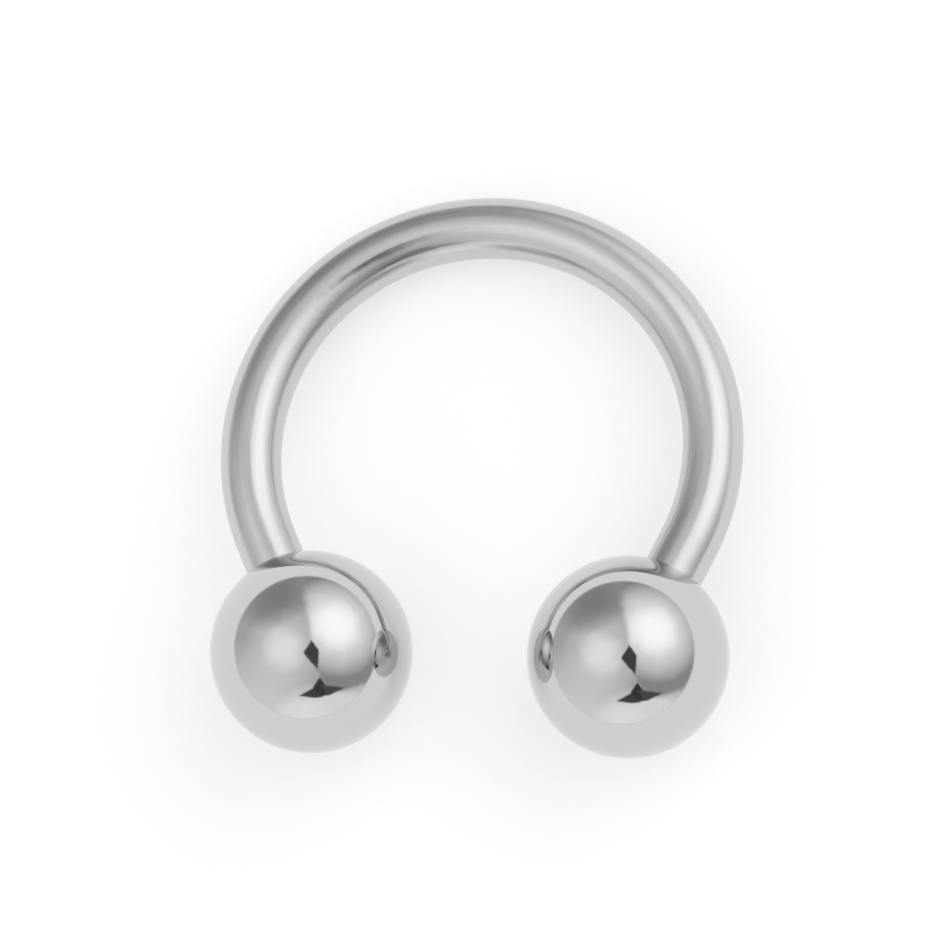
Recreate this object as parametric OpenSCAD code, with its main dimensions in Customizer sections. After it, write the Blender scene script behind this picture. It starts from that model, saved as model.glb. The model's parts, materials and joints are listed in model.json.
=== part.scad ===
// Horseshoe barbell: a round wire bent into a horseshoe, with a ball screwed onto each threaded end.
// It lies on its side on a flat surface, as it comes to rest by itself: on both balls and on the
// far side of the bend. The origin is on that surface, under the middle of the object's box.
// +X runs from the left ball to the right ball, +Y from the balls to the bend, +Z is up.

/* [Bar] */
// Diameter of the wire, the jewellery's gauge
wire_d = 1.2; // [1.2:0.1:1.6]
// Diameter inside the bend
inner_d = 8; // [8:0.5:12]
// Angle of the circle that the bend leaves open
open_angle = 131; // [120:1:140]
// Length of straight wire between the bend and the ball's mouth
straight_len = 0.61; // [0.4:0.01:1]
// Small chamfer round the end of the full wire, where the thread starts
shoulder_chamfer = 0.03; // [0.01:0.01:0.04]

/* [Balls] */
// Diameter of each ball
ball_d = 4; // [3.5:0.1:4.5]
// Radial gap between the wire and the edge of the ball's countersunk mouth
mouth_gap = 0.06; // [0.03:0.01:0.15]
// Gap between the wire's shoulder and the bottom of the countersink
seat_gap = 0.02; // [0.01:0.01:0.05]

/* [Thread] */
// Outer diameter of the thread on the wire's ends
thread_d = 1.12; // [0.8:0.01:1.12]
// Distance from one thread crest to the next
thread_pitch = 0.25; // [0.2:0.05:0.3]
// Length of each threaded end, from shoulder to tip
thread_len = 2; // [1.2:0.05:2.2]
// Chamfer on the tip of the thread
tip_chamfer = 0.15; // [0.05:0.01:0.2]
// Radial gap between the thread's crests and the hole in the ball
thread_gap = 0.03; // [0.01:0.01:0.03]
// Depth of the hole past the tip of the thread
hole_spare = 0.25; // [0.1:0.05:0.4]

/* [Hidden] */

$fn = 96;
LEFT = -1;
RIGHT = 1;
steel = "#c6c7c8";
bright_steel = "#d4d5d6";

wire_r = wire_d / 2;
ball_r = ball_d / 2;
bend_r = inner_d / 2 + wire_r;
half_open = open_angle / 2;

// The ball's hole: its radius, the countersink's two ends and the seat, measured from the ball's centre
hole_r = thread_d / 2 + thread_gap;
mouth_r = wire_r + mouth_gap;
mouth_dist = sqrt(ball_r * ball_r - mouth_r * mouth_r);
countersink_depth = mouth_r - hole_r;
seat_dist = mouth_dist - countersink_depth;
shoulder_dist = seat_dist + wire_r - hole_r + seat_gap;
hole_end_dist = shoulder_dist - thread_len - hole_spare;
drill_tip_angle = 118;
drill_tip = hole_r / tan(drill_tip_angle / 2);
mouth_overrun = 0.5;

// The straight end of the wire, from the end of the bend to the shoulder
shank_len = straight_len + mouth_dist - shoulder_dist;
ball_offset = shank_len + shoulder_dist;
bend_angle = 360 - open_angle;
// Angle that the bend is drawn past its left end before it is trimmed
bend_overrun = 3;

// Thread profile of one pitch: share of the pitch from its start, and share of the thread's depth
// A 60 degree form: a root flat of a quarter pitch and a crest flat of an eighth
THREAD_SHARE = 0;
THREAD_HEIGHT = 1;
thread_form = [
    [0, 0],
    [0.25, 0],
    [0.5625, 1],
    [0.6875, 1],
];
form_rows = len(thread_form);
thread_depth = 0.6134 * thread_pitch;
thread_root_r = thread_d / 2 - thread_depth;
thread_sides = 16;
// Turns of thread that start hidden inside the wire, and turns in all before the tip is cut
hidden_turns = 1.5;
thread_turns = ceil(thread_len / thread_pitch + hidden_turns) + 2;

// The bend tips down towards its far side until it and both balls touch the surface
ball_y = -bend_r * cos(half_open) - ball_offset * sin(half_open);
rest_tilt = asin((ball_r - wire_r) / (bend_r - ball_y));
rest_z = ball_r + ball_y * sin(rest_tilt);
front_y = ball_y * cos(rest_tilt) - ball_r;
back_y = bend_r * cos(rest_tilt) + wire_r;
rest_y = -(front_y + back_y) / 2;

// Takes a shape drawn flat, with the bend's centre at the origin, to the way the object rests
module at_rest() {
    translate([0, rest_y, rest_z])
        rotate([-rest_tilt, 0, 0])
            children();
}

// Takes a shape drawn along +Z to the end of the bend on one side, pointing out along the wire
module at_bend_end(side) {
    translate([side * bend_r * sin(half_open), -bend_r * cos(half_open), 0])
        rotate([0, 90, side == RIGHT ? 180 + half_open : -half_open])
            children();
}

// Turning surface of one screw thread along +Z, closed at both ends
module thread_body() {
    rows = thread_turns * form_rows;
    points = [
        for (column = [0:thread_sides - 1], row = [0:rows - 1])
            let (
                turn = column / thread_sides,
                form = thread_form[row % form_rows],
                r = thread_root_r + thread_depth * form[THREAD_HEIGHT],
                z = thread_pitch * (floor(row / form_rows) + form[THREAD_SHARE] + turn)
            )
            [r * cos(360 * turn), r * sin(360 * turn), z],
        [0, 0, thread_pitch / 2],
        [0, 0, thread_pitch * (thread_turns + 0.25)],
    ];
    bottom = thread_sides * rows;
    top = bottom + 1;
    last = thread_sides - 1;
    flanks = [
        for (column = [0:last - 1], row = [0:rows - 2])
            let (a = column * rows + row, b = a + rows)
            each [[a, a + 1, b + 1], [a, b + 1, b]],
    ];
    // The last column joins the first one pitch higher
    join = [
        for (row = [0:rows - form_rows - 2])
            let (a = last * rows + row, b = row + form_rows)
            each [[a, a + 1, b + 1], [a, b + 1, b]],
    ];
    bottom_rim = [
        for (column = [0:last]) column * rows,
        for (row = [form_rows:-1:0]) row,
    ];
    top_rim = [
        for (column = [0:last]) column * rows + rows - 1,
        for (row = [1:form_rows]) last * rows + rows - 1 - row,
        rows - 1,
    ];
    bottom_fan = [for (i = [0:len(bottom_rim) - 2]) [bottom, bottom_rim[i], bottom_rim[i + 1]]];
    top_fan = [for (i = [0:len(top_rim) - 2]) [top, top_rim[i + 1], top_rim[i]]];
    polyhedron(points, concat(flanks, join, bottom_fan, top_fan));
}

// Threaded post along +Z from the shoulder, with a chamfered tip
module threaded_post() {
    hidden_len = hidden_turns * thread_pitch;
    full_len = thread_len - tip_chamfer;
    tip_r = thread_d / 2 - tip_chamfer;
    intersection() {
        translate([0, 0, -hidden_len - thread_pitch])
            thread_body();
        rotate_extrude()
            polygon([
                [0, -hidden_len],
                [wire_r, -hidden_len],
                [wire_r, full_len - wire_r + thread_d / 2],
                [tip_r, thread_len],
                [0, thread_len],
            ]);
    }
}

// Straight end of the wire along +Z, up to its chamfered shoulder
module shank() {
    rotate_extrude()
        polygon([
            [0, 0],
            [wire_r, 0],
            [wire_r, shank_len - shoulder_chamfer],
            [wire_r - shoulder_chamfer, shank_len],
            [0, shank_len],
        ]);
}

// Straight end of the bar along +Z: shank and thread
module straight_end() {
    shank();
    translate([0, 0, shank_len])
        threaded_post();
}

// Bend and right end, with the right end's face on the XZ plane; the other face overruns its place
module bend_with_right_end() {
    rotate_extrude(angle = bend_angle + bend_overrun)
        translate([bend_r, 0])
            circle(r = wire_r);
    translate([bend_r, 0, 0])
        rotate([90, 0, 0])
            straight_end();
}

// Whole bar with the left end's face on the XZ plane, where the overrun is trimmed
module bar_from_left_end() {
    difference() {
        rotate([0, 0, -bend_angle])
            bend_with_right_end();
        translate([bend_r - wire_d, 0, -wire_d])
            cube([2 * wire_d, wire_d, 2 * wire_d]);
    }
    translate([bend_r, 0, 0])
        rotate([-90, 0, 0])
            straight_end();
}

module bar() {
    color(steel)
        at_rest()
            rotate([0, 0, 270 - half_open])
                bar_from_left_end();
}

// Blind hole for the thread, drawn from the ball's centre with its mouth towards -Z
module ball_hole() {
    rotate_extrude()
        polygon([
            [0, -ball_r - mouth_overrun],
            [mouth_r, -ball_r - mouth_overrun],
            [mouth_r, -mouth_dist],
            [hole_r, -seat_dist],
            [hole_r, -hole_end_dist],
            [0, -hole_end_dist + drill_tip],
        ]);
}

module ball(side) {
    color(bright_steel)
        at_rest()
            at_bend_end(side)
                translate([0, 0, ball_offset])
                    difference() {
                        sphere(r = ball_r);
                        ball_hole();
                    }
}

module ball_left() {
    ball(LEFT);
}

module ball_right() {
    ball(RIGHT);
}

bar();
ball_left();
ball_right();
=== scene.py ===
"""Looks of a horseshoe barbell: a bent steel wire with a polished ball screwed onto each end.

It lies on its side on a pale floor, in a small white light tent. Polished steel shows its
surroundings more than itself, so the tent's lamp, seams and openings are set out with some care.
"""

import json
import logging
import math
from collections.abc import Callable
from dataclasses import dataclass, field
from enum import Enum
from functools import cache, cached_property

import bpy
from mathutils import Matrix, Vector


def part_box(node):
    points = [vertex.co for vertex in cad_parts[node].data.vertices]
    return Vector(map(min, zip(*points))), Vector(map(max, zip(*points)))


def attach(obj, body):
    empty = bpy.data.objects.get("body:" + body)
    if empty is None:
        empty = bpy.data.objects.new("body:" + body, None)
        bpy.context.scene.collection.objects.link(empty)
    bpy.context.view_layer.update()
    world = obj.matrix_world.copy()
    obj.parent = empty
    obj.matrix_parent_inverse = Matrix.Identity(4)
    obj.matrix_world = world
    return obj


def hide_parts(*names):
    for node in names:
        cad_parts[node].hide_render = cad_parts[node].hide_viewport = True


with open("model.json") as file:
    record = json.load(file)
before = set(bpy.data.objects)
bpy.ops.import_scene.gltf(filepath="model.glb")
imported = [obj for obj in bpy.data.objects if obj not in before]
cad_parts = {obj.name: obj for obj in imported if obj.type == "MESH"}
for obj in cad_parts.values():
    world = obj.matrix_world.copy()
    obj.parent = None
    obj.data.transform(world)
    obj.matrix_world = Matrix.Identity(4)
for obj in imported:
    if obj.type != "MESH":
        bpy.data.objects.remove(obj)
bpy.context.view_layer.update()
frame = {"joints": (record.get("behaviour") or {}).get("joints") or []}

MM = 0.001
# Vertices nearer than this are one.
WELD = 0.001 * MM
# Tolerance for cutting a mesh, well under the width of its smallest face.
CUT_TOLERANCE = WELD / 10
# Edges that turn by more than this stay sharp.
SMOOTH_ANGLE = math.radians(35)
# Detail of a noise, in octaves over its own scale: nearly even, streaky and ragged.
EVEN = 1.0
STREAKY = 2.0
RAGGED = 3.0
# Name of the bar's attribute that holds each vertex's place in the wire's run.
WIRE_PLACE = "wire_place"
# Place of the cut steel in a piece's list of materials, after the polished steel.
CUT_FINISH = 1
WHITE = (1.0, 1.0, 1.0, 1.0)
LOG = logging.getLogger("barbell")


class Side(Enum):
    """The two ends of the bar: the ball's node, its body, and the way to it along X."""

    LEFT = ("ball_left", "left_ball", -1)
    RIGHT = ("ball_right", "right_ball", 1)

    def __init__(self, node: str, body: str, sign: int) -> None:
        """Keeps the node's name, the body's name and the sign of X."""
        self.node = node
        self.body = body
        self.sign = sign


def linear(hex_colour: str) -> tuple[float, float, float, float]:
    """Turns an sRGB colour into the linear one that a socket takes.

    Args:
        hex_colour: The colour as #rrggbb.

    Returns:
        Linear red, green, blue and an alpha of one.
    """
    channels = [int(hex_colour[i : i + 2], 16) / 255 for i in (1, 3, 5)]
    toe, toe_slope, offset, power = 0.04045, 12.92, 0.055, 2.4
    red, green, blue = (
        c / toe_slope if c <= toe else ((c + offset) / (1 + offset)) ** power for c in channels
    )
    return red, green, blue, 1.0


def add_node(
    tree: bpy.types.NodeTree,
    kind: str,
    sockets: dict[str | int, object] | None = None,
    **settings: object,
) -> bpy.types.Node:
    """Adds a node to a tree, with its settings, socket values and links.

    Args:
        tree: The node tree that it goes in.
        kind: Blender's name of the node type.
        sockets: Input name or index to a value, or to the output socket that feeds it.
        settings: The node's own properties.

    Returns:
        The new node.
    """
    node = tree.nodes.new(kind)
    for name, value in settings.items():
        setattr(node, name, value)
    for key, value in (sockets or {}).items():
        if isinstance(value, bpy.types.NodeSocket):
            tree.links.new(value, node.inputs[key])
        else:
            node.inputs[key].default_value = value
    return node


def new_metal(
    name: str, colour: str
) -> tuple[bpy.types.Material, bpy.types.NodeTree, bpy.types.Node]:
    """Starts a bare metal.

    Args:
        name: Name of the material.
        colour: What the metal reflects, as #rrggbb.

    Returns:
        The material, its node tree and its surface shader.
    """
    finish = bpy.data.materials.new(name)
    finish.use_nodes = True
    tree = finish.node_tree
    surface = tree.nodes["Principled BSDF"]
    surface.inputs["Base Color"].default_value = linear(colour)
    surface.inputs["Metallic"].default_value = 1.0
    return finish, tree, surface


def start_clean() -> None:
    """Deselects everything, so that the next operator acts on its own piece alone."""
    if bpy.context.object and bpy.context.object.mode != "OBJECT":
        bpy.ops.object.mode_set(mode="OBJECT")
    bpy.ops.object.select_all(action="DESELECT")


def select_vertices(piece: bpy.types.Object, wanted: Callable[[Vector], bool]) -> None:
    """Selects the vertices that pass a test, and with them their edges and faces.

    Args:
        piece: The piece, in edit mode before and after.
        wanted: Takes a vertex's place in the piece's own space and says if it is selected.
    """
    bpy.ops.mesh.select_mode(type="VERT")
    bpy.ops.mesh.select_all(action="DESELECT")
    bpy.ops.object.mode_set(mode="OBJECT")
    for vertex in piece.data.vertices:
        vertex.select = wanted(vertex.co)
    bpy.ops.object.mode_set(mode="EDIT")


def extrude_by(shift: Vector, scale: float = 1.0, centre: Vector | None = None) -> None:
    """Extrudes what is selected and moves it, then scales it about a point.

    Args:
        shift: The move, in metres.
        scale: The factor for the new rim's width.
        centre: The point that the scaling keeps in place.
    """
    bpy.ops.mesh.extrude_region_move(TRANSFORM_OT_translate={"value": shift})
    if scale != 1.0:
        bpy.ops.transform.resize(value=(scale,) * 3, center_override=centre)


@dataclass(frozen=True)
class ScrewThread:
    """A right-handed thread with eased crests and roots.

    Attributes:
        pitch: Distance from one crest to the next.
        depth: Height of the crests over the roots.
        rows: Rings of vertices for each pitch.
        root_share: Share of the pitch that the root's flat takes up.
        crest_share: Share of the pitch that the crest's flat takes up.
    """

    pitch: float = 0.25 * MM
    depth: float = 0.153 * MM
    rows: int = 16
    root_share: float = 0.16
    crest_share: float = 0.08

    def height(self, along: float, turn: float) -> float:
        """Gives the thread's height over its root.

        Args:
            along: Distance along the axis.
            turn: Place round the axis, in turns.

        Returns:
            The height in metres.
        """
        place = (along / self.pitch - turn) % 1.0
        flank = (1 - self.root_share - self.crest_share) / 2
        # The crest's middle lies half a pitch along
        from_crest = abs(place - 0.5) - self.crest_share / 2
        rise = min(1.0, max(0.0, 1 - from_crest / flank))
        # Eased at both ends of the flank, so that it meets the root and the crest without an edge
        return self.depth * rise * rise * (3 - 2 * rise)


@dataclass(frozen=True)
class Layout:
    """Where the bar and the balls lie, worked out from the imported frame.

    Attributes:
        wire_r: Radius of the wire, half of its gauge.
    """

    wire_r: float = 0.6 * MM

    @cached_property
    def ball_r(self) -> float:
        """Radius of a ball, from its node's box."""
        low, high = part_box(Side.RIGHT.node)
        return (high[0] - low[0]) / 2

    @cached_property
    def bend_r(self) -> float:
        """Radius of the bend's centreline, from the bar's width."""
        low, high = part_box("bar")
        return (high[0] - low[0]) / 2 - self.wire_r

    @cached_property
    def outward(self) -> dict[Side, Vector]:
        """The way in which each ball comes off its end of the bar."""
        axes = {joint["child"]: Vector(joint["axis"]).normalized() for joint in frame["joints"]}
        return {side: axes[side.body] for side in Side}

    @cached_property
    def normal(self) -> Vector:
        """The ring's upper normal."""
        return self.outward[Side.RIGHT].cross(self.outward[Side.LEFT]).normalized()

    @cached_property
    def radial(self) -> dict[Side, Vector]:
        """From the ring's centre to each end of the bend."""
        return {
            side: self.normal.cross(self.outward[side]).normalized() * side.sign for side in Side
        }

    @cached_property
    def ball_centre(self) -> dict[Side, Vector]:
        """Middle of each ball's box."""
        corners = {side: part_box(side.node) for side in Side}
        return {side: (Vector(low) + Vector(high)) / 2 for side, (low, high) in corners.items()}

    @cached_property
    def ball_offset(self) -> float:
        """Distance from the end of the bend to the ball's centre."""
        side = Side.RIGHT
        reach = self.ball_centre[side].x - self.bend_r * self.radial[side].x
        return reach / self.outward[side].x

    @cached_property
    def centre(self) -> Vector:
        """The ring's centre."""
        side = Side.RIGHT
        bend_end = self.ball_centre[side] - self.outward[side] * self.ball_offset
        return bend_end - self.radial[side] * self.bend_r

    @cached_property
    def bend_angle(self) -> float:
        """Angle that the bend goes through, the long way round."""
        return math.tau - self.radial[Side.RIGHT].angle(self.radial[Side.LEFT])

    @cached_property
    def ring_matrix(self) -> Matrix:
        """From the ring's own space to the frame: +X to the right end, +Z the upper normal."""
        across = self.radial[Side.RIGHT]
        turn = Matrix((across, self.normal.cross(across), self.normal)).transposed().to_4x4()
        return Matrix.Translation(self.centre) @ turn

    @cached_property
    def end_matrix(self) -> dict[Side, Matrix]:
        """From each straight end's own space to the frame.

        Its origin is the end of the bend, with +Z out along the wire and +X away from the ring's
        centre.
        """
        spaces = {}
        for side in Side:
            out = self.outward[side]
            across = self.radial[side]
            turn = Matrix((across, out.cross(across), out)).transposed().to_4x4()
            bend_end = self.centre + across * self.bend_r
            spaces[side] = Matrix.Translation(bend_end) @ turn
        return spaces

    @cached_property
    def end_in_ring(self) -> dict[Side, Matrix]:
        """From each straight end's own space to the ring's."""
        to_ring = self.ring_matrix.inverted()
        return {side: to_ring @ self.end_matrix[side] for side in Side}

    @cached_property
    def ring_in_end(self) -> dict[Side, Matrix]:
        """From the ring's space to each straight end's own."""
        return {side: self.end_in_ring[side].inverted() for side in Side}


@dataclass(frozen=True)
class MirrorPolish:
    """Stainless steel buffed to a mirror on a soft wheel.

    The buffing leaves no lines that show. It leaves the surface a few millionths of a metre
    uneven, so a reflection's edge wavers a little, and a thin haze that differs from spot to spot.

    Attributes:
        name: Name of the material.
        colour: What polished steel reflects.
        clear: Roughness where the buff has worked most.
        hazy: Roughness where it has worked least.
        haze_range: Noise values where the haze starts and where it is full.
        haze_size: Width of a hazy spot.
        wave_size: Width of one wave in the surface.
        wave_height: Height of the waves.
    """

    name: str = "steel_mirror_polished"
    colour: str = "#cacaca"
    clear: float = 0.03
    hazy: float = 0.07
    haze_range: tuple[float, float] = (0.35, 0.7)
    haze_size: float = 1.2 * MM
    wave_size: float = 1.0 * MM
    wave_height: float = 0.0015 * MM

    @cache
    def material(self) -> bpy.types.Material:
        """Builds the material, once for all the pieces that wear it."""
        finish, tree, surface = new_metal(self.name, self.colour)
        place = add_node(tree, "ShaderNodeTexCoord").outputs["Object"]
        haze = add_node(
            tree,
            "ShaderNodeTexNoise",
            {"Vector": place, "Scale": 1 / self.haze_size, "Detail": RAGGED},
        )
        rough = add_node(
            tree,
            "ShaderNodeMapRange",
            {
                "Value": haze.outputs["Fac"],
                "From Min": self.haze_range[0],
                "From Max": self.haze_range[1],
                "To Min": self.clear,
                "To Max": self.hazy,
            },
        )
        wave = add_node(
            tree,
            "ShaderNodeTexNoise",
            {"Vector": place, "Scale": 1 / self.wave_size, "Detail": EVEN},
        )
        bump = add_node(
            tree, "ShaderNodeBump", {"Height": wave.outputs["Fac"], "Distance": self.wave_height}
        )
        tree.links.new(rough.outputs["Result"], surface.inputs["Roughness"])
        tree.links.new(bump.outputs["Normal"], surface.inputs["Normal"])
        return finish


@dataclass(frozen=True)
class DrawnPolish:
    """Stainless wire drawn through a die, bent, then tumbled to a soft gloss.

    The die leaves fine lines along the wire, which tumbling softens but doesn't take away,
    so bright and dark bands run along it with slightly streaky edges.

    Attributes:
        name: Name of the material.
        colour: What the steel reflects.
        smooth: Roughness between the lines.
        lined: Roughness in the lines.
        line_range: Noise values where a line starts and where it is full.
        line_width: Width of a draw line. Real ones are about 0.01 mm wide, too fine to show, so
            these are as coarse as they need to be.
        line_length: Length of a draw line.
        line_depth: Depth of a draw line.
        peel_size: Width of a pit in the orange peel that bending raises.
        peel_depth: Depth of the orange peel.
    """

    name: str = "steel_wire_drawn"
    colour: str = "#c9c9c9"
    smooth: float = 0.19
    lined: float = 0.3
    line_range: tuple[float, float] = (0.4, 0.7)
    line_width: float = 0.06 * MM
    line_length: float = 1.5 * MM
    line_depth: float = 0.0014 * MM
    peel_size: float = 0.3 * MM
    peel_depth: float = 0.003 * MM

    @cache
    def material(self) -> bpy.types.Material:
        """Builds the material, once for all the pieces that wear it."""
        finish, tree, surface = new_metal(self.name, self.colour)
        place = add_node(tree, "ShaderNodeAttribute", attribute_name=WIRE_PLACE)
        stretch = (1 / self.line_width, 1 / self.line_width, 1 / self.line_length)
        lines_at = add_node(
            tree,
            "ShaderNodeVectorMath",
            {0: place.outputs["Vector"], 1: stretch},
            operation="MULTIPLY",
        )
        lines = add_node(
            tree,
            "ShaderNodeTexNoise",
            {"Vector": lines_at.outputs["Vector"], "Scale": 1.0, "Detail": STREAKY},
        )
        rough = add_node(
            tree,
            "ShaderNodeMapRange",
            {
                "Value": lines.outputs["Fac"],
                "From Min": self.line_range[0],
                "From Max": self.line_range[1],
                "To Min": self.smooth,
                "To Max": self.lined,
            },
        )
        peel = add_node(
            tree,
            "ShaderNodeTexNoise",
            {"Vector": place.outputs["Vector"], "Scale": 1 / self.peel_size, "Detail": EVEN},
        )
        peeled = add_node(
            tree, "ShaderNodeBump", {"Height": peel.outputs["Fac"], "Distance": self.peel_depth}
        )
        bump = add_node(
            tree,
            "ShaderNodeBump",
            {
                "Height": lines.outputs["Fac"],
                "Distance": self.line_depth,
                "Normal": peeled.outputs["Normal"],
            },
        )
        tree.links.new(rough.outputs["Result"], surface.inputs["Roughness"])
        tree.links.new(bump.outputs["Normal"], surface.inputs["Normal"])
        return finish


@dataclass(frozen=True)
class CutSteel:
    """Stainless steel as the threading die and the tap leave it: clean, but dull beside the polish.

    Attributes:
        name: Name of the material.
        colour: What the cut steel reflects.
        clean: Roughness where the cut is clean.
        torn: Roughness in a tear.
        tear_size: Width of the small tears that the cutter leaves.
        tear_depth: Depth of the tears.
    """

    name: str = "steel_thread_cut"
    colour: str = "#bdbdbd"
    clean: float = 0.22
    torn: float = 0.38
    tear_size: float = 0.05 * MM
    tear_depth: float = 0.002 * MM

    @cache
    def material(self) -> bpy.types.Material:
        """Builds the material, once for all the pieces that wear it."""
        finish, tree, surface = new_metal(self.name, self.colour)
        place = add_node(tree, "ShaderNodeTexCoord").outputs["Object"]
        tears = add_node(
            tree,
            "ShaderNodeTexNoise",
            {"Vector": place, "Scale": 1 / self.tear_size, "Detail": RAGGED},
        )
        rough = add_node(
            tree,
            "ShaderNodeMapRange",
            {"Value": tears.outputs["Fac"], "To Min": self.clean, "To Max": self.torn},
        )
        bump = add_node(
            tree, "ShaderNodeBump", {"Height": tears.outputs["Fac"], "Distance": self.tear_depth}
        )
        tree.links.new(rough.outputs["Result"], surface.inputs["Roughness"])
        tree.links.new(bump.outputs["Normal"], surface.inputs["Normal"])
        return finish


@dataclass
class Bar:
    """The wire: a bend, two straight ends and the thread that is cut into each.

    Attributes:
        layout: Where it lies.
        thread: The thread's form.
        shank_len: Length of straight wire between the bend and the thread.
        shoulder_chamfer: Chamfer round the end of the full wire.
        thread_r: Radius of the thread's crests.
        thread_len: Length of the thread.
        tip_chamfer: Chamfer on the thread's tip.
        run_out: Length over which the thread rises out of the shoulder.
        sides: Vertices round the wire.
        bend_steps: Sections along the bend.
        axis_reach: How far from a straight end's axis its vertices lie at most, in wire radii.
    """

    layout: Layout
    thread: ScrewThread = field(default_factory=ScrewThread)
    shank_len: float = 0.65 * MM
    shoulder_chamfer: float = 0.03 * MM
    thread_r: float = 0.56 * MM
    thread_len: float = 2.0 * MM
    tip_chamfer: float = 0.15 * MM
    run_out: float = 0.12 * MM
    sides: int = 96
    bend_steps: int = 240
    axis_reach: float = 1.5

    def build(self) -> bpy.types.Object:
        """Models the bar.

        Returns:
            The finished piece.
        """
        ends = [self.add_straight_end(side) for side in Side]
        piece = self.add_bend()
        for end in ends:
            end.select_set(True)
        bpy.ops.object.join()
        bpy.ops.object.mode_set(mode="EDIT")
        bpy.ops.mesh.select_all(action="SELECT")
        bpy.ops.mesh.remove_doubles(threshold=WELD)
        bpy.ops.mesh.normals_make_consistent(inside=False)
        bpy.ops.object.mode_set(mode="OBJECT")
        self.mark_wire_places(piece)
        self.dress(piece)
        piece.matrix_world = self.layout.ring_matrix
        bpy.ops.object.transform_apply(location=True, rotation=True, scale=True)
        bpy.ops.object.shade_smooth_by_angle(angle=SMOOTH_ANGLE)
        piece.name = "threaded_horseshoe_bar"
        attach(piece, "bar")
        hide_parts("bar")
        return piece

    def add_bend(self) -> bpy.types.Object:
        """Spins the wire's section round the ring's centre.

        Returns:
            The bend in the ring's space, open at both ends.
        """
        start_clean()
        bpy.ops.mesh.primitive_circle_add(
            vertices=self.sides,
            radius=self.layout.wire_r,
            location=(self.layout.bend_r, 0, 0),
            rotation=(math.pi / 2, 0, 0),
        )
        bpy.ops.object.transform_apply(location=True, rotation=True, scale=True)
        bpy.ops.object.mode_set(mode="EDIT")
        bpy.ops.mesh.select_all(action="SELECT")
        bpy.ops.mesh.spin(
            steps=self.bend_steps, angle=self.layout.bend_angle, center=(0, 0, 0), axis=(0, 0, -1)
        )
        bpy.ops.object.mode_set(mode="OBJECT")
        return bpy.context.object

    def stations(self) -> list[float]:
        """Gives the places along a straight end where the wire has a ring of vertices.

        Returns:
            Distances from the end of the bend, in order.
        """
        step = self.thread.pitch / self.thread.rows
        rows = math.ceil(self.thread_len / step)
        cut = [self.shank_len + self.thread_len * row / rows for row in range(1, rows + 1)]
        return [self.shank_len - self.shoulder_chamfer, self.shank_len, *cut]

    def radius(self, along: float, turn: float) -> float:
        """Gives the straight end's radius at one place.

        Args:
            along: Distance from the end of the bend.
            turn: Place round the wire, in turns.

        Returns:
            The radius in metres.
        """
        # Both chamfers are at 45 degrees, so they go in by as much as they go along
        past = along - self.shank_len
        wire_r = self.layout.wire_r
        if past <= 0:
            return wire_r - max(0.0, past + self.shoulder_chamfer)
        to_tip = self.thread_len - past
        cone = self.thread_r - self.tip_chamfer + to_tip
        fade = min(1.0, past / self.run_out)
        dip = (self.thread.depth - self.thread.height(past, turn)) * fade
        return min(self.thread_r - dip, cone)

    def add_straight_end(self, side: Side) -> bpy.types.Object:
        """Draws the wire out past the bend and turns the thread into it.

        Args:
            side: Which end.

        Returns:
            The straight end in the ring's space, open where it meets the bend.
        """
        start_clean()
        bpy.ops.mesh.primitive_circle_add(vertices=self.sides, radius=self.layout.wire_r)
        piece = bpy.context.object
        bpy.ops.object.mode_set(mode="EDIT")
        bpy.ops.mesh.select_all(action="SELECT")
        before = 0.0
        for station in self.stations():
            extrude_by(Vector((0, 0, station - before)))
            before = station
        bpy.ops.mesh.edge_face_add()
        bpy.ops.object.mode_set(mode="OBJECT")
        for vertex in piece.data.vertices:
            place = vertex.co
            angle = math.atan2(place.y, place.x)
            r = self.radius(place.z, angle / math.tau)
            vertex.co = Vector((r * math.cos(angle), r * math.sin(angle), place.z))
        piece.matrix_world = self.layout.end_in_ring[side]
        bpy.ops.object.transform_apply(location=True, rotation=True, scale=True)
        return piece

    def along_wire(self, place: Vector) -> tuple[float, float, float]:
        """Gives a vertex's place in the wire's own run.

        Args:
            place: The place in the ring's space.

        Returns:
            Offset from the centreline away from the ring's centre, offset along the ring's
            normal, and length along the centreline.
        """
        layout = self.layout
        start = {Side.RIGHT: 0.0, Side.LEFT: layout.bend_r * layout.bend_angle}
        reach = layout.wire_r * self.axis_reach
        for side in Side:
            local = layout.ring_in_end[side] @ place
            if local.z > -WELD and math.hypot(local.x, local.y) < reach:
                return local.x, place.z, start[side] - side.sign * local.z
        angle = math.atan2(place.y, place.x) % math.tau
        return math.hypot(place.x, place.y) - layout.bend_r, place.z, layout.bend_r * angle

    def mark_wire_places(self, piece: bpy.types.Object) -> None:
        """Keeps each vertex's place in the wire's run, for the draw lines.

        Args:
            piece: The bar, in the ring's space.
        """
        places = piece.data.attributes.new(WIRE_PLACE, "FLOAT_VECTOR", "POINT")
        for vertex, entry in zip(piece.data.vertices, places.data):
            entry.vector = self.along_wire(vertex.co)

    def dress(self, piece: bpy.types.Object) -> None:
        """Gives the wire its drawn finish and the thread its cut one.

        Args:
            piece: The bar, in the ring's space.
        """
        piece.data.materials.append(DrawnPolish().material())
        piece.data.materials.append(CutSteel().material())
        for face in piece.data.polygons:
            for to_end in self.layout.ring_in_end.values():
                local = to_end @ face.center
                if local.z > self.shank_len and math.hypot(local.x, local.y) < self.layout.wire_r:
                    face.material_index = CUT_FINISH


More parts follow.
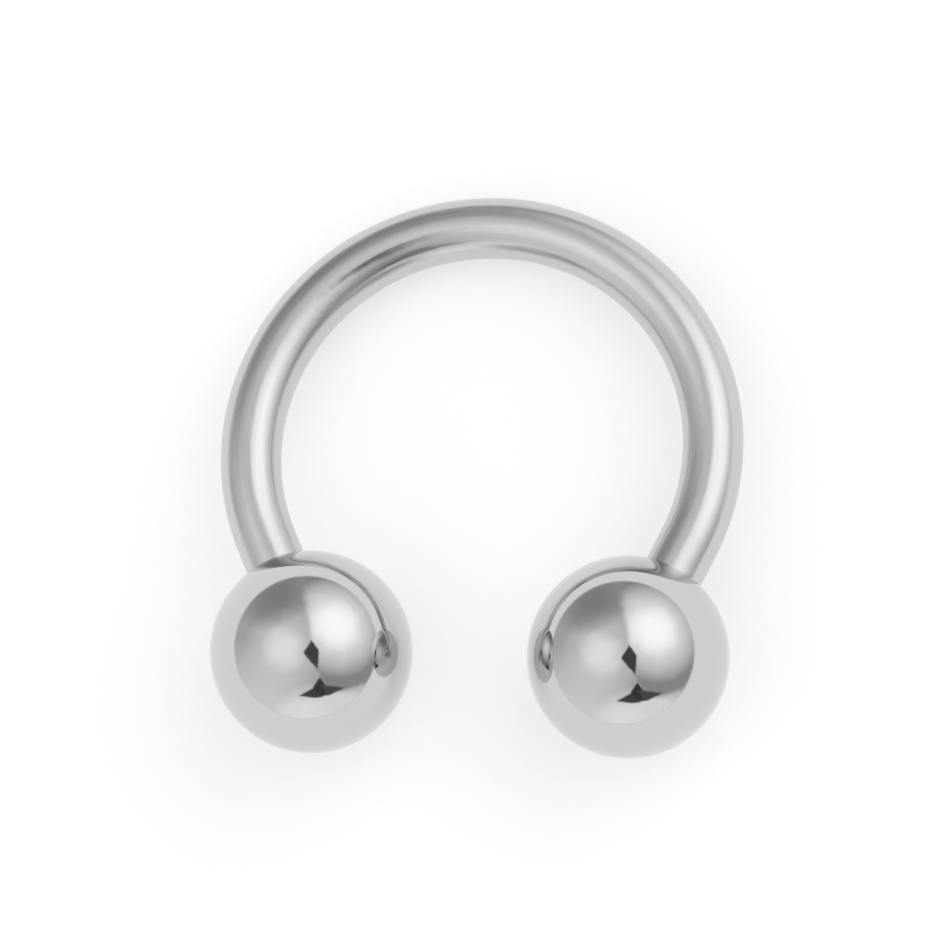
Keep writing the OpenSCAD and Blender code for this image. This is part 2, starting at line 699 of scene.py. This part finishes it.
@dataclass
class Ball:
    """A polished ball with a blind tapped hole and a small countersink at its mouth.

    Attributes:
        layout: Where it lies.
        side: Which end of the bar it is on.
        thread: The tapped thread's form.
        mouth_r: Radius of the countersink at the ball's surface.
        hole_r: Radius of the hole at the thread's crests.
        hole_end: How far past the ball's centre the hole's wall ends.
        drill_tip: Length of the cone that the drill leaves.
        thread_end_gap: Length of plain wall past the tapped thread.
        mouth_round: Width of the broken edge round the mouth.
        mouth_steps: Rings of faces over the broken edge.
        sides: Vertices round the ball.
        rings: Rings of faces from pole to pole.
    """

    layout: Layout
    side: Side
    thread: ScrewThread = field(default_factory=lambda: ScrewThread(depth=0.1 * MM))
    mouth_r: float = 0.66 * MM
    hole_r: float = 0.59 * MM
    hole_end: float = 0.402 * MM
    drill_tip: float = 0.354 * MM
    thread_end_gap: float = 0.2 * MM
    mouth_round: float = 0.012 * MM
    mouth_steps: int = 3
    sides: int = 160
    rings: int = 80

    @property
    def mouth_dist(self) -> float:
        """Distance from the ball's centre to the plane of the hole's mouth."""
        return math.sqrt(self.layout.ball_r**2 - self.mouth_r**2)

    def build(self) -> bpy.types.Object:
        """Models the ball.

        Returns:
            The finished piece.
        """
        start_clean()
        bpy.ops.mesh.primitive_uv_sphere_add(
            segments=self.sides, ring_count=self.rings, radius=self.layout.ball_r
        )
        piece = bpy.context.object
        bpy.ops.object.mode_set(mode="EDIT")
        bpy.ops.mesh.select_all(action="SELECT")
        bpy.ops.mesh.bisect(
            plane_co=(0, 0, -self.mouth_dist),
            plane_no=(0, 0, -1),
            use_fill=True,
            clear_outer=True,
            threshold=CUT_TOLERANCE,
        )
        self.drill(piece)
        self.round_mouth(piece)
        bpy.ops.mesh.select_all(action="SELECT")
        bpy.ops.mesh.normals_make_consistent(inside=False)
        bpy.ops.object.mode_set(mode="OBJECT")
        self.dress(piece)
        end = self.layout.end_matrix[self.side]
        piece.matrix_world = end @ Matrix.Translation((0, 0, self.layout.ball_offset))
        bpy.ops.object.transform_apply(location=True, rotation=True, scale=True)
        bpy.ops.object.shade_smooth_by_angle(angle=SMOOTH_ANGLE)
        piece.name = "polished_" + self.side.node
        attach(piece, self.side.body)
        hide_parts(self.side.node)
        return piece

    def drill(self, piece: bpy.types.Object) -> None:
        """Takes the mouth's face in as the countersink, the tapped wall and the drill's tip.

        Args:
            piece: The ball, in edit mode before and after, with the mouth's face selected.
        """
        countersink = self.mouth_r - self.hole_r
        wall_start = -self.mouth_dist + countersink
        narrowing = self.hole_r / self.mouth_r
        extrude_by(Vector((0, 0, countersink)), narrowing, Vector((0, 0, wall_start)))
        wall_len = self.hole_end - wall_start
        rows = math.ceil(wall_len * self.thread.rows / self.thread.pitch)
        for _ in range(rows):
            extrude_by(Vector((0, 0, wall_len / rows)))
        extrude_by(Vector((0, 0, self.drill_tip)))
        bpy.ops.mesh.merge(type="CENTER")
        bpy.ops.object.mode_set(mode="OBJECT")
        for vertex in piece.data.vertices:
            r = math.hypot(vertex.co.x, vertex.co.y)
            into = vertex.co.z - wall_start
            left = self.hole_end - self.thread_end_gap - vertex.co.z
            if r < self.mouth_r and into > 0 and left > 0:
                angle = math.atan2(vertex.co.y, vertex.co.x)
                fade = min(1.0, into / self.thread.pitch, left / self.thread.pitch)
                groove = self.thread.height(vertex.co.z, angle / math.tau) * fade
                vertex.co.x *= (r + groove) / r
                vertex.co.y *= (r + groove) / r
        bpy.ops.object.mode_set(mode="EDIT")

    def round_mouth(self, piece: bpy.types.Object) -> None:
        """Breaks the sharp edge between the ball and its countersink.

        Args:
            piece: The ball, in edit mode before and after.
        """
        select_vertices(
            piece,
            lambda place: abs(place.z + self.mouth_dist) < WELD
            and math.hypot(place.x, place.y) < self.mouth_r + WELD,
        )
        bpy.ops.mesh.bevel(offset=self.mouth_round, segments=self.mouth_steps, affect="EDGES")

    def dress(self, piece: bpy.types.Object) -> None:
        """Gives the ball its mirror and the hole's wall its cut finish.

        Args:
            piece: The ball in its own space.
        """
        piece.data.materials.append(MirrorPolish().material())
        piece.data.materials.append(CutSteel().material())
        inside = self.hole_r + self.thread.depth + WELD
        for face in piece.data.polygons:
            centre = face.center
            if math.hypot(centre.x, centre.y) < inside and centre.length < self.mouth_dist:
                face.material_index = CUT_FINISH


@dataclass(frozen=True)
class TentPanel:
    """A patch of light or shade on the light tent round the object.

    Places on the tent are pairs of degrees: azimuth from +X towards +Y, and height over the floor.

    Attributes:
        glow: Its brightness.
        outline: Corners of a convex patch with straight edges, or none.
        middle: Middle of a round patch, or none.
        core: Half the round patch's width where it is full, in degrees.
        edge: Half the round patch's width where it has faded out, in degrees.
        softness: Half the width of the fade over a straight edge, in degrees.
    """

    glow: float
    outline: tuple[tuple[float, float], ...] = ()
    middle: tuple[float, float] | None = None
    core: float = 0.0
    edge: float = 90.0
    softness: float = 1.3

    def share(self, tree: bpy.types.NodeTree, way: bpy.types.NodeSocket) -> bpy.types.NodeSocket:
        """Adds the nodes that say how much of the patch lies in a direction.

        Args:
            tree: The world's node tree.
            way: The direction.

        Returns:
            A value from 0 off the patch to 1 on it.
        """
        limits = []
        if self.middle:
            inner, outer = (math.cos(math.radians(angle)) for angle in (self.core, self.edge))
            limits.append((tent_way(*self.middle), outer, inner, "LINEAR"))
        corners = [tent_way(*corner) for corner in self.outline]
        fade = math.sin(math.radians(self.softness))
        for corner, after in zip(corners, corners[1:] + corners[:1]):
            inward = corner.cross(after).normalized()
            if inward.dot(sum(corners, Vector())) < 0:
                inward.negate()
            limits.append((inward, -fade, fade, "SMOOTHSTEP"))
        share = None
        for toward, off, full, ease in limits:
            facing = add_node(
                tree, "ShaderNodeVectorMath", {0: way, 1: toward}, operation="DOT_PRODUCT"
            )
            part = add_node(
                tree,
                "ShaderNodeMapRange",
                {"Value": facing.outputs["Value"], "From Min": off, "From Max": full},
                interpolation_type=ease,
            ).outputs["Result"]
            if share:
                part = add_node(
                    tree, "ShaderNodeMath", {0: share, 1: part}, operation="MULTIPLY"
                ).outputs[0]
            share = part
        return share


def tent_way(azimuth: float, elevation: float) -> Vector:
    """Gives the direction to a place on the tent.

    Args:
        azimuth: Degrees from +X towards +Y.
        elevation: Degrees over the floor.

    Returns:
        A unit vector.
    """
    around, up = math.radians(azimuth), math.radians(elevation)
    return Vector((math.cos(around) * math.cos(up), math.sin(around) * math.cos(up), math.sin(up)))


# The lit half of the tent, from its seam at the back over the top to its hem at the front
LIT_HALF = ((99, -4), (46, 80), (-59, 57), (-66, 31), (-47, 17), (-21, -2))


@dataclass
class Studio:
    """The pale floor, the soft light and the camera.

    Attributes:
        layout: What the camera looks at.
        room_glow: Brightness of the tent where no patch lies.
        backdrop_glow: Brightness of the tent at its foot, and of all that the camera sees past
            the floor's edge.
        floor_half: Half the floor's width.
        floor_colour: The floor's own colour.
        floor_roughness: Roughness of the floor.
        floor_shine: Specular level of the floor.
        floor_glow: Light that comes up through the floor.
        cove_deg: Height over which the floor's white runs up the tent, in degrees.
        fold_scale: Folds in the tent's cloth for each radius of the sky.
        fold_depth: How far a fold shifts what is reflected, as a share of the sky's radius.
        image_px: Width and height of the photograph.
        px_per_mm: Pixels of the photograph to a millimetre at the ring.
        ring_centre_px: Column and row of the ring's centre in the photograph.
        lean_deg: Lean of the ring's plane away from the image, about the image's X.
        swing_deg: Swing of the ring's plane about the image's Y.
        roll_deg: Roll of the ring in the image.
        camera_distance: Distance from the camera to the ring.
        sensor_mm: Width of the camera's sensor.
        panels: Patches of light and shade on the tent, each laid over those before it.
    """

    layout: Layout
    room_glow: float = 0.58
    backdrop_glow: float = 0.95
    floor_half: float = 0.6
    floor_colour: str = "#d3d3d3"
    floor_roughness: float = 0.9
    floor_shine: float = 0.2
    floor_glow: float = 0.46
    cove_deg: float = 2.5
    fold_scale: float = 5.0
    fold_depth: float = 0.06
    image_px: float = 945.0
    px_per_mm: float = 50.74
    ring_centre_px: tuple[float, float] = (481.8, 451.0)
    lean_deg: float = -16.66
    swing_deg: float = -8.76
    roll_deg: float = -0.86
    camera_distance: float = 0.4
    sensor_mm: float = 36.0
    panels: tuple[TentPanel, ...] = (
        # The unlit half: a soft glow near the top, and a dark corner low at the back
        TentPanel(glow=0.92, middle=(-170, 66), edge=52),
        TentPanel(glow=1.2, middle=(-168, 66), edge=28),
        TentPanel(glow=0.95, middle=(-125, 5), core=5, edge=62),
        TentPanel(glow=0.33, middle=(121, 20), core=10, edge=39),
        # The light front, brightest low down
        TentPanel(glow=1.06, middle=(-75, 0), core=28, edge=48),
        TentPanel(glow=1.16, middle=(-92, 4), core=4, edge=28),
        # The lit half and its lamp
        TentPanel(glow=0.38, outline=LIT_HALF, softness=5),
        TentPanel(glow=1.36, middle=(38, 46), core=5, edge=59, outline=LIT_HALF, softness=5),
        TentPanel(glow=1.58, middle=(36, 45), edge=30),
        # The opening at the top, and the gap under the seam with its two tails
        TentPanel(glow=0.08, outline=((38, 79), (-84, 82), (-59, 57), (-12, 72))),
        TentPanel(glow=0.06, outline=((-62, 50), (-82, 36), (-76, 28), (-61, 25))),
        TentPanel(glow=0.08, outline=((-98, 31), (-78, 40), (-70, 26))),
        TentPanel(glow=0.10, outline=((-67, 41), (-44, 22), (-65, 25))),
    )

    def build(self) -> None:
        """Sets the floor, the light and the camera."""
        self.add_floor()
        self.add_light()
        self.add_camera()
        bpy.context.scene.view_settings.view_transform = "Standard"

    def add_floor(self) -> None:
        """Lays a white sheet under the object."""
        start_clean()
        bpy.ops.mesh.primitive_plane_add(size=2 * self.floor_half)
        floor = bpy.context.object
        floor.name = "floor"
        # Opal acrylic with a matt face, lit from below, so shadows on it are soft and faint.
        sheet = bpy.data.materials.new("acrylic_opal_matt")
        sheet.use_nodes = True
        surface = sheet.node_tree.nodes["Principled BSDF"]
        surface.inputs["Base Color"].default_value = linear(self.floor_colour)
        surface.inputs["Roughness"].default_value = self.floor_roughness
        surface.inputs["Specular IOR Level"].default_value = self.floor_shine
        surface.inputs["Emission Color"].default_value = WHITE
        surface.inputs["Emission Strength"].default_value = self.floor_glow
        floor.data.materials.append(sheet)

    def add_light(self) -> None:
        """Hangs the white tent round the floor, with its patches of light and shade."""
        world = bpy.data.worlds.new("light_tent")
        world.use_nodes = True
        bpy.context.scene.world = world
        tree = world.node_tree
        background = tree.nodes["Background"]
        straight = add_node(tree, "ShaderNodeTexCoord").outputs["Generated"]
        folds = add_node(
            tree,
            "ShaderNodeTexNoise",
            {"Vector": straight, "Scale": self.fold_scale, "Detail": EVEN},
        )
        # The noise is a half on average, and half its depth is taken off, so it bends both ways
        depth = (self.fold_depth,) * 3
        bent = add_node(
            tree,
            "ShaderNodeVectorMath",
            {0: folds.outputs["Color"], 1: depth, 2: straight},
            operation="MULTIPLY_ADD",
        )
        half = (-self.fold_depth / 2,) * 3
        way = add_node(
            tree, "ShaderNodeVectorMath", {0: bent.outputs["Vector"], 1: half}, operation="ADD"
        ).outputs["Vector"]
        glow = self.room_glow
        for panel in self.panels:
            share = panel.share(tree, way)
            glow = add_node(tree, "ShaderNodeMix", {0: share, 2: glow, 3: panel.glow}).outputs[0]
        height = add_node(tree, "ShaderNodeSeparateXYZ", {0: straight}).outputs["Z"]
        cove = add_node(
            tree,
            "ShaderNodeMapRange",
            {"Value": height, "From Min": 0.0, "From Max": math.sin(math.radians(self.cove_deg))},
        )
        glow = add_node(
            tree, "ShaderNodeMix", {0: cove.outputs["Result"], 2: self.backdrop_glow, 3: glow}
        ).outputs[0]
        seen = add_node(tree, "ShaderNodeLightPath").outputs["Is Camera Ray"]
        shown = add_node(tree, "ShaderNodeMix", {0: seen, 2: glow, 3: self.backdrop_glow})
        tree.links.new(shown.outputs[0], background.inputs["Strength"])
        background.inputs["Color"].default_value = WHITE

    def add_camera(self) -> None:
        """Places a long lens so that the ring lies in the image as in the photograph."""
        to_image = (
            Matrix.Rotation(math.radians(self.roll_deg), 3, "Z")
            @ Matrix.Rotation(math.radians(self.swing_deg), 3, "Y")
            @ Matrix.Rotation(math.radians(self.lean_deg), 3, "X")
        )
        up = self.layout.normal
        across = Vector((1, 0, 0))
        ring = Matrix((across, up.cross(across), up)).transposed()
        turn = ring @ to_image.transposed()
        right, top, back = turn.col
        step = MM / self.px_per_mm
        column, row = self.ring_centre_px
        target = (
            self.layout.centre
            + right * (self.image_px / 2 - column) * step
            - top * (self.image_px / 2 - row) * step
        )
        lens = bpy.data.cameras.new("long_lens")
        width = self.image_px * step
        lens.sensor_width = self.sensor_mm
        lens.lens = self.sensor_mm * self.camera_distance / width
        camera = bpy.data.objects.new("camera", lens)
        place = target + back * self.camera_distance
        camera.matrix_world = Matrix.Translation(place) @ turn.to_4x4()
        bpy.context.scene.collection.objects.link(camera)
        bpy.context.scene.camera = camera


def main() -> None:
    """Builds the studio and the pieces, and reports each."""
    logging.basicConfig(level=logging.INFO, format="%(name)s: %(message)s")
    layout = Layout()
    Studio(layout).build()
    pieces = [Bar(layout).build(), *(Ball(layout, side).build() for side in Side)]
    for piece in pieces:
        LOG.info("%s: %d faces", piece.name, len(piece.data.polygons))


if __name__ == "__main__":
    main()
